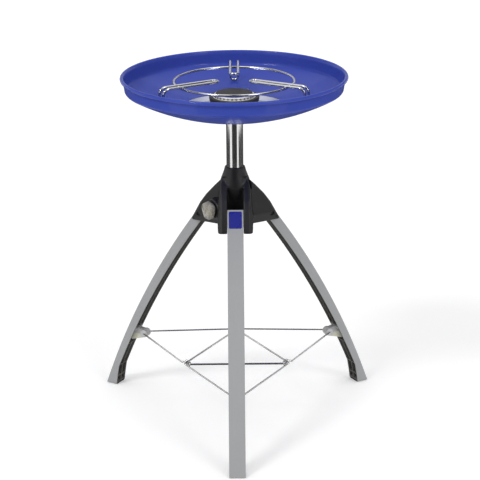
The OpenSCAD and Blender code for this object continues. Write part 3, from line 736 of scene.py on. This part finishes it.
def trim_section():
    """Closed outline of the ring that caps the bowl's wall, with a lip outside it."""
    low, bore, side = BURNER_TOP, HEAD_R + 0.1, BURNER_R + 0.1
    return rounded([[bore, low], [side, low], [side, low - 6], [TRIM_R - 1, low - 6],
                    [TRIM_R, low + 0.8], [TRIM_R - 0.8, low + 2.6], [TRIM_R - 5, low + 1.6],
                    [bore, low + 1.6]],
                   [0.3, 0, 0.2, 0.2, 1, 1.2, 3, 0.5], 4, closed=True)


def head_section():
    """Outline of the ported head: flat top under the lid, upright side with a thin
    flange, and an open underside."""
    top, side, bore, flange = HEAD_TOP - 3.4, HEAD_R, HEAD_R - 3, HEAD_TOP - 9.4
    shoulder, low = HEAD_TOP - 5, HEAD_TOP - 16
    return rounded([[0, top], [side - 2, top], [side, shoulder], [side, flange + 0.8],
                    [FLANGE_R, flange + 0.8], [FLANGE_R, flange], [side, flange],
                    [side, low], [bore, low], [bore, shoulder], [0, shoulder]],
                   [0, 0.8, 1, 0.3, 0.3, 0.3, 0.3, 0.5, 0.5, 1, 0], 5)


def lid_section():
    """Outline of the low-domed lid on the head."""
    top, low, edge = HEAD_TOP, HEAD_TOP - 3.3, 36.6
    return rounded([[0, top], [28, top - 0.6], [edge - 0.2, top - 2], [edge, low], [0, low]],
                   [0, 12, 0.8, 0.3, 0], 5)


def port_rims(count):
    """Short rims evenly spaced round the head's side."""
    section = rounded([[1.0, 0], [1.0, 1.2], [1.8, 1.2], [2.0, 0]], [0, 0.2, 0.3, 0], 3,
                      closed=True)
    rim = laid(revolve(section, 12, closed=True), [HEAD_R - 0.4, 0, HEAD_TOP - 6.8], [1, 0, 0])
    return [turned(rim, 360 / count * k) for k in range(count)]


class STAND_OT_burner(StandOperator, bpy.types.Operator):
    """Burner: pressed reflector, bowl with its trim ring, ported head and lid"""

    bl_idname = "stand.burner"
    bl_label = "Burner"

    def execute(self, context):
        colours = context.scene.stand_colours
        iron = finish("burner iron", colours.iron, 0.55, shade=1.5, patch_scale=45.0,
                      grain=700.0, depth=0.08)
        # The plate's bluish colour is a painted reflection of the blue dish above it.
        plate = finish("reflector steel with painted blue reflection", colours.reflector, 0.16, metallic=1.0, shade=0.9,
                       patch_scale=25.0, spread=0.08)
        bright = finish("spun aluminium", colours.head, 0.4, metallic=0.4, shade=0.9,
                        patch_scale=30.0)
        ports = finish("port metal", colours.ports, 0.4, metallic=0.6, shade=0.7,
                       patch_scale=80.0)
        spun("reflector_plate", reflector_section(), 144, "dish", ["reflector"],
             plate)
        spun("burner_bowl", bowl_section(), 120, "dish", ["burner_body"], iron)
        spun("burner_trim", trim_section(), 120, "dish", ["burner_ring"], iron,
             closed=True)
        spun("burner_head", head_section(), 120, "dish", [], bright)
        spun("burner_lid", lid_section(), 120, "dish", [], iron)
        piece("burner_ports", port_rims(30), "dish", ["burner_cap"], ports)
        node_finish("burner_screws", brushed_finish(colours))
        return {"FINISHED"}


class STAND_OT_pot_stand(StandOperator, bpy.types.Operator):
    """Loose pot stand: wire ring under three bent wire hairpins"""

    bl_idname = "stand.pot_stand"
    bl_label = "Pot stand"

    def execute(self, context):
        sizes, colours = context.scene.stand_sizes, context.scene.stand_colours
        wire, ring = sizes.ring_wire / MM, sizes.ring_radius / MM
        chrome = chrome_finish(colours)
        t = np.linspace(0, 2 * math.pi, 160, endpoint=False)
        loop = np.stack([ring * np.cos(t), ring * np.sin(t), 0 * t + RING_Z], 1)
        piece("pot_stand_ring", [sweep(loop, wire, closed=True)], "pot_stand", ["pot_ring"],
              chrome)
        near, far, half, high = 38, 162, 8, RING_Z + 2 * wire
        for name, azimuth in SUPPORTS.items():
            node = "pot_support_" + name
            low = bottom_of(node) + wire
            path = rounded([[far, half, low], [far, half, high], [near, half, high],
                            [near, -half, high], [far, -half, high], [far, -half, low]],
                           [8, 14, 8, 8, 14, 8], 10, closed=True)
            piece("pot_hairpin_" + name, [turned(sweep(path, wire, closed=True), azimuth)],
                  "pot_stand", [node], chrome)
        return {"FINISHED"}


def tube_section():
    """Closed outline of the post's tube."""
    return rounded([[POST_R, POST_LOW], [POST_R, POST_TOP], [POST_BORE, POST_TOP],
                    [POST_BORE, POST_LOW]], 0.6, 4, closed=True)


def bush_section():
    """Closed outline of the bush that guides the dish's spigot, with a collar on the tube."""
    bore, low, top = SPIGOT_R + 0.1, POST_TOP - 66, POST_TOP + 3
    return rounded([[bore, low], [POST_FIT, low], [POST_FIT, POST_TOP], [POST_R, POST_TOP],
                    [POST_R, top], [bore, top]], [0.5, 0.5, 0, 0.3, 0.8, 0.5], 4, closed=True)


def plug_section():
    """Outline of the plug in the tube's lower end, with a flange under it."""
    flange, low, top = POST_R - 0.6, POST_LOW - 2, POST_LOW + 12
    return rounded([[0, low], [flange, low], [flange, POST_LOW], [POST_FIT, POST_LOW],
                    [POST_FIT, top], [0, top]], [0, 1, 0.3, 0.1, 1, 0], 4)


def spigot_section():
    """Outline of the dish's spigot: a flange under the dish and a hollow pin."""
    flange, top, under = 46, FLAT_Z - 0.02, FLAT_Z - 3
    bore, low = SPIGOT_R - 1.5, under - 60
    return rounded([[0, top], [flange, top], [flange, under], [SPIGOT_R + 6, under],
                    [SPIGOT_R, under - 2.5], [SPIGOT_R, low], [bore, low], [bore, under - 1],
                    [0, under - 1]], [0, 0.5, 1.6, 4, 3, 0.6, 0.5, 0.5, 0], 5)


class STAND_OT_post(StandOperator, bpy.types.Operator):
    """Post tube, its bush and plug, and the dish's flanged spigot"""

    bl_idname = "stand.post"
    bl_label = "Post"

    def execute(self, context):
        colours = context.scene.stand_colours
        black, steel = black_finish(colours), brushed_finish(colours)
        chrome = finish("post chrome", colours.chrome, 0.12, metallic=1.0, shade=0.95,
                        patch_scale=30.0, spread=0.05)
        spun("post_pipe", tube_section(), 128, "post", ["post_tube"], chrome,
             closed=True)
        spun("post_sleeve", bush_section(), 96, "post", ["post_bush"], black,
             closed=True)
        spun("post_stopper", plug_section(), 96, "post", ["post_plug"], black)
        spun("dish_spigot", spigot_section(), 96, "dish", ["spigot"], steel)
        return {"FINISHED"}


class STAND_OT_hub(StandOperator, bpy.types.Operator):
    """Moulded hub with soft edges, its pins and its clamp parts"""

    bl_idname = "stand.hub"
    bl_label = "Hub"

    def execute(self, context):
        sizes, colours = context.scene.stand_sizes, context.scene.stand_colours
        hub = finish("hub plastic", colours.hub, 0.4, shade=1.3, patch_scale=22.0,
                     spread=0.12, grain=1100.0, depth=0.05)
        moulded("hub_moulding", ["hub_shell"], sizes.hub_cell, 8, "hub", hub)
        black = black_finish(colours)
        node_finish("pivot_pins", black)
        node_finish("clamp_pad", black)
        node_finish("clamp_insert", brass_finish(colours))
        node_finish("clamp_screw", brushed_finish(colours))
        return {"FINISHED"}


def faceted(points, middle, planes, outside, draw):
    """The points with flat facets: each plane stands across a random direction, at the
    depth that leaves the given share of the points outside it, and each point is drawn
    towards the middle until it is inside every plane."""
    normals = draw.normal(size=(planes, 3))
    normals /= np.linalg.norm(normals, axis=1)[:, None]
    away = (points - middle) @ normals.T
    depth = np.sort(away, axis=0)[-int(len(points) * outside)]
    over = np.where(away > depth, (away - depth) / np.maximum(away, 1), 0)
    return middle + (points - middle) * (1 - over.max(1))[:, None]


class STAND_OT_clamp_knob(StandOperator, bpy.types.Operator):
    """Three-lobed clamp knob with a faceted, marbled surface, whose pale veins are also
    painted glints
    """

    bl_idname = "stand.clamp_knob"
    bl_label = "Clamp knob"

    def execute(self, context):
        sizes, colours = context.scene.stand_sizes, context.scene.stand_colours
        # Radius share and height along the axis, from the back's middle to the front's
        section = rounded([[0, 0.4], [0.5, 0.2], [0.52, 0], [0.86, 0], [1, 3], [1, 10],
                           [0.84, 14.2], [0.45, 15.9], [0, 16.1]],
                          [0, 0.1, 0.1, 1.5, 3, 3.5, 3, 4, 0], 7)
        t = np.linspace(0, 2 * math.pi, 192, endpoint=False)
        reach = sizes.knob / MM + sizes.lobe / MM * np.cos(3 * (t - math.pi))
        r, z = section[:, :1] * reach, section[:, 1:]
        lobed = np.stack([r * np.cos(t), r * np.sin(t), z + 0 * t], -1).reshape(-1, 3)
        points = faceted(lobed, middle=np.array([0, 0, 7.0]), planes=64, outside=0.022,
                         draw=np.random.default_rng(7))
        # A quarter turn points one lobe down
        points = points[:, [1, 0, 2]] * [-1, 1, 1]
        a = math.radians(CLAMP_AZIMUTH)
        axis = np.array([math.cos(a), math.sin(a), 0])
        grip = laid((points, grid_quads(len(section), len(t), False, True)),
                    axis * CLAMP_OUT + [0, 0, CLAMP_Z], axis)
        piece("clamp_grip", [grip], "clamp_knob", ["clamp_knob"],
              marbled_finish(colours, sizes.marbling))
        return {"FINISHED"}


def leg_faces_inside(mesh, azimuth):
    """True for the faces of a leg that lie on its ribbed inner side: not on the outer
    arc, on a flank or on the flanks' lower ends, judged by the face's middle and normal
    in the leg's own upright plane."""
    a = math.radians(azimuth)
    out = np.array([math.cos(a), math.sin(a), 0])
    across = np.array([-math.sin(a), math.cos(a), 0])
    count = len(mesh.polygons)
    middle, normal = np.zeros(count * 3), np.zeros(count * 3)
    mesh.polygons.foreach_get("center", middle)
    mesh.polygons.foreach_get("normal", normal)
    middle, normal = middle.reshape(-1, 3) / MM, normal.reshape(-1, 3)
    r, t, z = middle @ out, middle @ across, middle[:, 2]
    flank = (np.abs(t) > LEG_HALF - 0.4) & (np.abs(normal @ across) > 0.6)
    arc = np.hypot(r - LEG_CENTRE[0], z - LEG_CENTRE[1]) > LEG_R - 1.6
    end = (z < 3) & (normal[:, 2] < -0.7) & (np.abs(t) > LEG_HALF - 2.5)
    return ~(flank | arc | end)


class STAND_OT_legs(StandOperator, bpy.types.Operator):
    """Three curved legs with ribbed inner sides, rubber feet and blank badges"""

    bl_idname = "stand.legs"
    bl_label = "Legs"

    def execute(self, context):
        sizes, colours = context.scene.stand_sizes, context.scene.stand_colours
        outside = finish("leg outside", colours.leg, 0.42, shade=0.965, patch_scale=16.0,
                         grain=1000.0, depth=0.045)
        inside = finish("leg inside", colours.leg_inside, 0.6, shade=0.8, patch_scale=30.0,
                        depth=0.06)
        badge = finish("badge plastic", colours.badge, 0.25, coat=0.3, shade=0.92,
                       patch_scale=50.0, grain=600.0, depth=0.02)
        rubber = finish("foot rubber", colours.rubber, 0.75, shade=1.6, patch_scale=50.0,
                        grain=600.0, depth=0.12)
        for name, azimuth in SIDES.items():
            body = "leg_" + name
            leg = softened("leg_shell_" + name, [body], sizes.leg_edge, body,
                           [outside, inside], segments=3, angle=40)
            inner = leg_faces_inside(leg.data, azimuth)
            leg.data.polygons.foreach_set("material_index", inner.astype(np.int32))
            softened("badge_inlay_" + name, ["badge_" + name], 0.35 * MM, body,
                     badge)
            softened("foot_rubber_" + name, ["foot_pad_" + name], sizes.small_edge, body,
                     rubber)
        return {"FINISHED"}


class STAND_OT_brackets(StandOperator, bpy.types.Operator):
    """Brackets that carry the brace on the legs, each with a pivot stud"""

    bl_idname = "stand.brackets"
    bl_label = "Brackets"

    def execute(self, context):
        sizes, colours = context.scene.stand_sizes, context.scene.stand_colours
        plastic = bracket_finish(colours)
        for name in SIDES:
            softened("bracket_block_" + name, ["bracket_" + name], 1.3 * sizes.small_edge,
                     "leg_" + name, plastic, segments=3)
        return {"FINISHED"}


def brace_rod(side, rod, wire):
    """One rod of a brace arm, on the side +1 or -1: straight from its eye at the bracket
    to the centre triangle, then rolled round the triangle's wire as a helix whose radius
    is the two wires' radii and a small gap."""
    half = BRACE_INNER * math.sqrt(3)
    hook, eye, lead = half - 12, 8.1, 9.0
    slope = (half - eye) / (BRACE_REACH - BRACE_INNER)
    roll, pitch = wire + rod + 0.12, 3.65
    turn = np.linspace(-0.5, -2 * math.pi * 1.15, 36)
    along = hook + 3.4 + pitch * turn / (2 * math.pi)
    coil = np.stack([BRACE_INNER + roll * np.sin(turn), side * along,
                     BRACE_Z + roll * np.cos(turn)], 1)
    run = rounded([[BRACE_REACH, side * eye, BRACE_Z],
                   [BRACE_INNER + lead, side * (half - lead * slope), BRACE_Z + 1.4],
                   [BRACE_INNER + 1.2, side * (hook + 3.6), BRACE_Z + roll], coil[0]],
                  [0, 3.5, 2.5, 0], 6)
    return sweep(np.vstack([run[:-1], coil]), rod, 12)


def pivot_cap(side, radius):
    """Round cap with a dimple, on the side +1 or -1 of a bracket."""
    button = rounded([[0, 0], [radius, 0], [radius, 2.4], [radius - 2.2, 3.7], [3, 4.1],
                      [2.6, 3.4], [0, 3.4]], [0, 0.5, 1.6, 2, 0.3, 0.3, 0], 4)
    return laid(revolve(button, 40), [BRACE_REACH, side * 6.25, BRACE_Z], [0, side, 0])


class STAND_OT_brace(StandOperator, bpy.types.Operator):
    """Wire brace: centre triangle, and rods that hook on it with rolled coils"""

    bl_idname = "stand.brace"
    bl_label = "Brace"

    def execute(self, context):
        sizes, colours = context.scene.stand_sizes, context.scene.stand_colours
        chrome = chrome_finish(colours)
        plastic = finish("cap plastic", colours.cap, 0.4, shade=0.92, patch_scale=90.0,
                         depth=0.04)
        rod, wire = sizes.rod / MM, sizes.centre_wire / MM
        a, corner = np.radians([-30, 90, 210]), 2 * BRACE_INNER
        corners = np.stack([corner * np.cos(a), corner * np.sin(a), 0 * a + BRACE_Z], 1)
        triangle = sweep(rounded(corners, 2.6, 6, closed=True), wire, closed=True)
        piece("brace_triangle", [triangle], "brace_centre", ["brace_centre"], chrome)
        rods = [brace_rod(side, rod, wire) for side in (-1, 1)]
        caps = [pivot_cap(side, sizes.cap / MM) for side in (-1, 1)]
        for name, azimuth in SIDES.items():
            body = "brace_arm_" + name
            piece("brace_rods_" + name, [turned(each, azimuth) for each in rods], body, [body],
                  chrome)
            piece("brace_caps_" + name, [turned(each, azimuth) for each in caps], body, [],
                  plastic)
        return {"FINISHED"}


class STAND_OT_gas_parts(StandOperator, bpy.types.Operator):
    """Mixing tube, jet, valve, hose nozzle, hanger and gas knob"""

    bl_idname = "stand.gas_parts"
    bl_label = "Gas parts"

    def execute(self, context):
        sizes, colours = context.scene.stand_sizes, context.scene.stand_colours
        edge = sizes.small_edge
        brass, steel = brass_finish(colours), brushed_finish(colours)
        softened("gas_tube", ["mixing_tube"], 0.25 * MM, "dish", steel)
        softened("valve_block", ["valve_body"], 0.6 * edge, "dish", brass)
        softened("valve_hanger", ["valve_bracket"], 0.5 * edge, "dish", steel)
        softened("hose_spout", ["hose_nozzle"], 0.4 * edge, "dish", brass)
        softened("gas_dial", ["gas_knob"], 1.4 * edge, "gas_tap",
                 black_finish(colours), segments=3)
        node_finish("gas_jet", brass)
        node_finish("valve_spindle", brass)
        return {"FINISHED"}


class STAND_OT_igniter(StandOperator, bpy.types.Operator):
    """Push igniter, its lead and its electrode"""

    bl_idname = "stand.igniter"
    bl_label = "Igniter"

    def execute(self, context):
        sizes, colours = context.scene.stand_sizes, context.scene.stand_colours
        edge = sizes.small_edge
        black = black_finish(colours)
        red = finish("button plastic", colours.red_plastic, 0.3, coat=0.3, shade=0.85,
                     patch_scale=80.0)
        ceramic = finish("glazed ceramic", colours.ceramic, 0.18, coat=0.5, shade=0.94,
                         patch_scale=80.0)
        softened("igniter_case", ["igniter_body"], edge, "dish", black)
        softened("igniter_push", ["igniter_button"], 1.2 * edge, "igniter", red,
                 segments=3)
        softened("spark_insulator", ["electrode"], 0.8 * edge, "dish", ceramic)
        node_finish("electrode_tip", brushed_finish(colours))
        node_finish("ignition_lead", black)
        return {"FINISHED"}


# ---------------------------------------------------------------- stage

# Half width of the floor in metres, how much brighter it is seen than lit, and the
# strength of the light from all round
FLOOR_REACH = 14.0
FLOOR_GLOW = 0.16
WORLD_LIGHT = 0.75

# Lamps: name, azimuth, elevation and angle in degrees, strength
LAMPS = [("key lamp", -48, 46, 14, 0.75),
         ("fill lamp", 42, 40, 18, 0.45),
         ("top lamp", 10, 78, 30, 0.12)]

# Cards that stand round the stand: first and last azimuth in degrees, lower and upper
# edge in millimetres, shade
CARD_R = 1300.0
WALL_CARDS = [(-36, 31, 6.0, 2600.0, 0.05), (52, 150, 6.0, 430.0, 0.08),
              (-150, -66, 6.0, 430.0, 0.08), (52, 150, 900.0, 2600.0, 0.05),
              (-150, -66, 1120.0, 2600.0, 0.05), (150, 210, 6.0, 620.0, 0.05),
              (150, 210, 860.0, 1500.0, 0.45)]

# Level cards: name, half width, far and near edge on y and height in millimetres, shade
FLAT_CARDS = [("floor_card_front", 215.0, 80.0, -1300.0, 4.0, 0.05),
              ("floor_card_back", 600.0, 1300.0, 260.0, 4.0, 0.08),
              ("ceiling_card", 190.0, 300.0, -1300.0, 2600.0, 0.05)]

# Camera: place in metres, angle that it looks down and roll in radians, sensor and lens
# in millimetres
CAMERA_AT = (0.00884, -3.2532, 1.4986)
CAMERA_DOWN = 0.3321
CAMERA_ROLL = 0.0089
CAMERA_SENSOR = 36.0
CAMERA_LENS = 126.83


def set_up(name, data, origin, x, y, z):
    """Lamp or camera in the scene, with its origin at a place and its axes along x, y
    and z."""
    obj = bpy.data.objects.new(name, data)
    turn = Matrix(np.array([x, y, z]).T.tolist())
    obj.matrix_world = Matrix.Translation(tuple(origin)) @ turn.to_4x4()
    bpy.context.scene.collection.objects.link(obj)
    return obj


def lamp(name, azimuth, elevation, angle, strength):
    """Soft distant lamp that shines from an azimuth, measured as the camera's, and
    a height above the horizon."""
    data = bpy.data.lights.new(name, "SUN")
    data.energy = strength
    data.angle = math.radians(angle)
    a, e = math.radians(azimuth), math.radians(elevation)
    back = np.array([math.sin(a) * math.cos(e), -math.cos(a) * math.cos(e), math.sin(e)])
    x = np.cross([0, 0, 1.0], back)
    x /= np.linalg.norm(x)
    set_up(name, data, back * 5, x, np.cross(back, x), back)


def staged(name, points, faces, look):
    """Object with points in metres that belongs to the stage."""
    mesh = bpy.data.meshes.new(name)
    mesh.from_pydata(points.tolist(), [], faces.tolist())
    mesh.materials.append(look)
    obj = bpy.data.objects.new(name, mesh)
    bpy.context.scene.collection.objects.link(obj)
    return obj


def level(half, far, near, z):
    """Level rectangle: its four corners and its face."""
    corners = [[-half, near, z], [half, near, z], [half, far, z], [-half, far, z]]
    return np.array(corners), np.array([[0, 1, 2, 3]])


def card(name, points, faces, shade):
    """Studio card of a grey shade that is seen only in reflections, with points in
    millimetres."""
    dull, _ = new_material(name, {"Base Color": (shade, shade, shade, 1), "Roughness": 1.0,
                                  "Specular IOR Level": 0.0})
    obj = staged(name, points * MM, faces, dull)
    for kind in ("camera", "diffuse", "transmission", "volume_scatter", "shadow"):
        setattr(obj, "visible_" + kind, False)


def wall_card(name, start, end, low, top, shade):
    """Card bent round the stand between two azimuths: points (R sin a, -R cos a, z)
    for azimuth a and height z."""
    a = np.radians(np.linspace(start, end, 24))
    z = np.array([low, top])[:, None]
    points = np.stack([CARD_R * np.sin(a) + 0 * z, -CARD_R * np.cos(a) + 0 * z, z + 0 * a], -1)
    card(name, points.reshape(-1, 3), grid_quads(2, len(a), False, False), shade)


def floor_finish(colours):
    """Pale floor that keeps shadows and shows a little brighter than its own colour."""
    made, tree = new_material("pale floor", {
        "Base Color": (*colours.floor, 1), "Roughness": 0.8, "Specular IOR Level": 0.2,
        "Emission Color": (1, 1, 1, 1)})
    glow = tree.math("MULTIPLY", tree.background_rays(), FLOOR_GLOW)
    tree.fill(tree.shader, {"Emission Strength": glow})
    return made


def white_world():
    """World that is white where it is seen and softer where it lights the stand."""
    world = bpy.data.worlds.new("white surroundings")
    world.use_nodes = True
    tree = Tree(world.node_tree)
    strength = tree.span(tree.background_rays(), 0.0, 1.0, WORLD_LIGHT, 1.0)
    tree.fill(world.node_tree.nodes["Background"],
              {"Color": (1, 1, 1, 1), "Strength": strength})
    return world


def camera():
    """Camera that looks along +y and down, with a slight roll."""
    down, roll = CAMERA_DOWN, CAMERA_ROLL
    right = np.array([1.0, 0, 0])
    up = np.array([0, math.sin(down), math.cos(down)])
    back = np.array([0, -math.cos(down), math.sin(down)])
    data = bpy.data.cameras.new("camera")
    data.sensor_width, data.lens = CAMERA_SENSOR, CAMERA_LENS
    data.clip_start, data.clip_end = 0.1, 60.0
    return set_up("camera", data, CAMERA_AT, math.cos(roll) * right - math.sin(roll) * up,
                  math.sin(roll) * right + math.cos(roll) * up, back)


class STAND_OT_stage(StandOperator, bpy.types.Operator):
    """Pale floor, soft lamps, white surroundings, reflection cards and the camera"""

    bl_idname = "stand.stage"
    bl_label = "Stage"

    def execute(self, context):
        scene, reach = context.scene, FLOOR_REACH
        staged("floor", *level(reach, reach, -reach, 0), floor_finish(scene.stand_colours))
        scene.world = white_world()
        for each in LAMPS:
            lamp(*each)
        for number, edges in enumerate(WALL_CARDS):
            wall_card(f"wall_card_{number}", *edges)
        for name, *edges, shade in FLAT_CARDS:
            card(name, *level(*edges), shade)
        scene.camera = camera()
        scene.view_settings.view_transform = "Standard"
        return {"FINISHED"}


OPERATORS = (STAND_OT_dish, STAND_OT_burner, STAND_OT_pot_stand, STAND_OT_post, STAND_OT_hub,
             STAND_OT_clamp_knob, STAND_OT_legs, STAND_OT_brackets, STAND_OT_brace,
             STAND_OT_gas_parts, STAND_OT_igniter, STAND_OT_stage)


class STAND_PT_pieces(bpy.types.Panel):
    """Lists the stand's pieces"""

    bl_idname = "STAND_PT_pieces"
    bl_label = "Burner stand"
    bl_space_type = "VIEW_3D"
    bl_region_type = "UI"
    bl_category = "Stand"

    def draw(self, context):
        for operator in OPERATORS:
            self.layout.operator(operator.bl_idname)


CLASSES = (StandSizes, StandColours, *OPERATORS, STAND_PT_pieces)


def register():
    """Registers the classes and the scene's properties."""
    for cls in CLASSES:
        bpy.utils.register_class(cls)
    bpy.types.Scene.stand_sizes = bpy.props.PointerProperty(type=StandSizes)
    bpy.types.Scene.stand_colours = bpy.props.PointerProperty(type=StandColours)


def unregister():
    """Takes the classes and the properties away again."""
    del bpy.types.Scene.stand_colours
    del bpy.types.Scene.stand_sizes
    for cls in reversed(CLASSES):
        bpy.utils.unregister_class(cls)


def main():
    """Registers the classes, then builds every piece and the stage."""
    register()
    for operator in OPERATORS:
        group, name = operator.bl_idname.split(".")
        getattr(getattr(bpy.ops, group), name)()


if __name__ == "__main__":
    main()
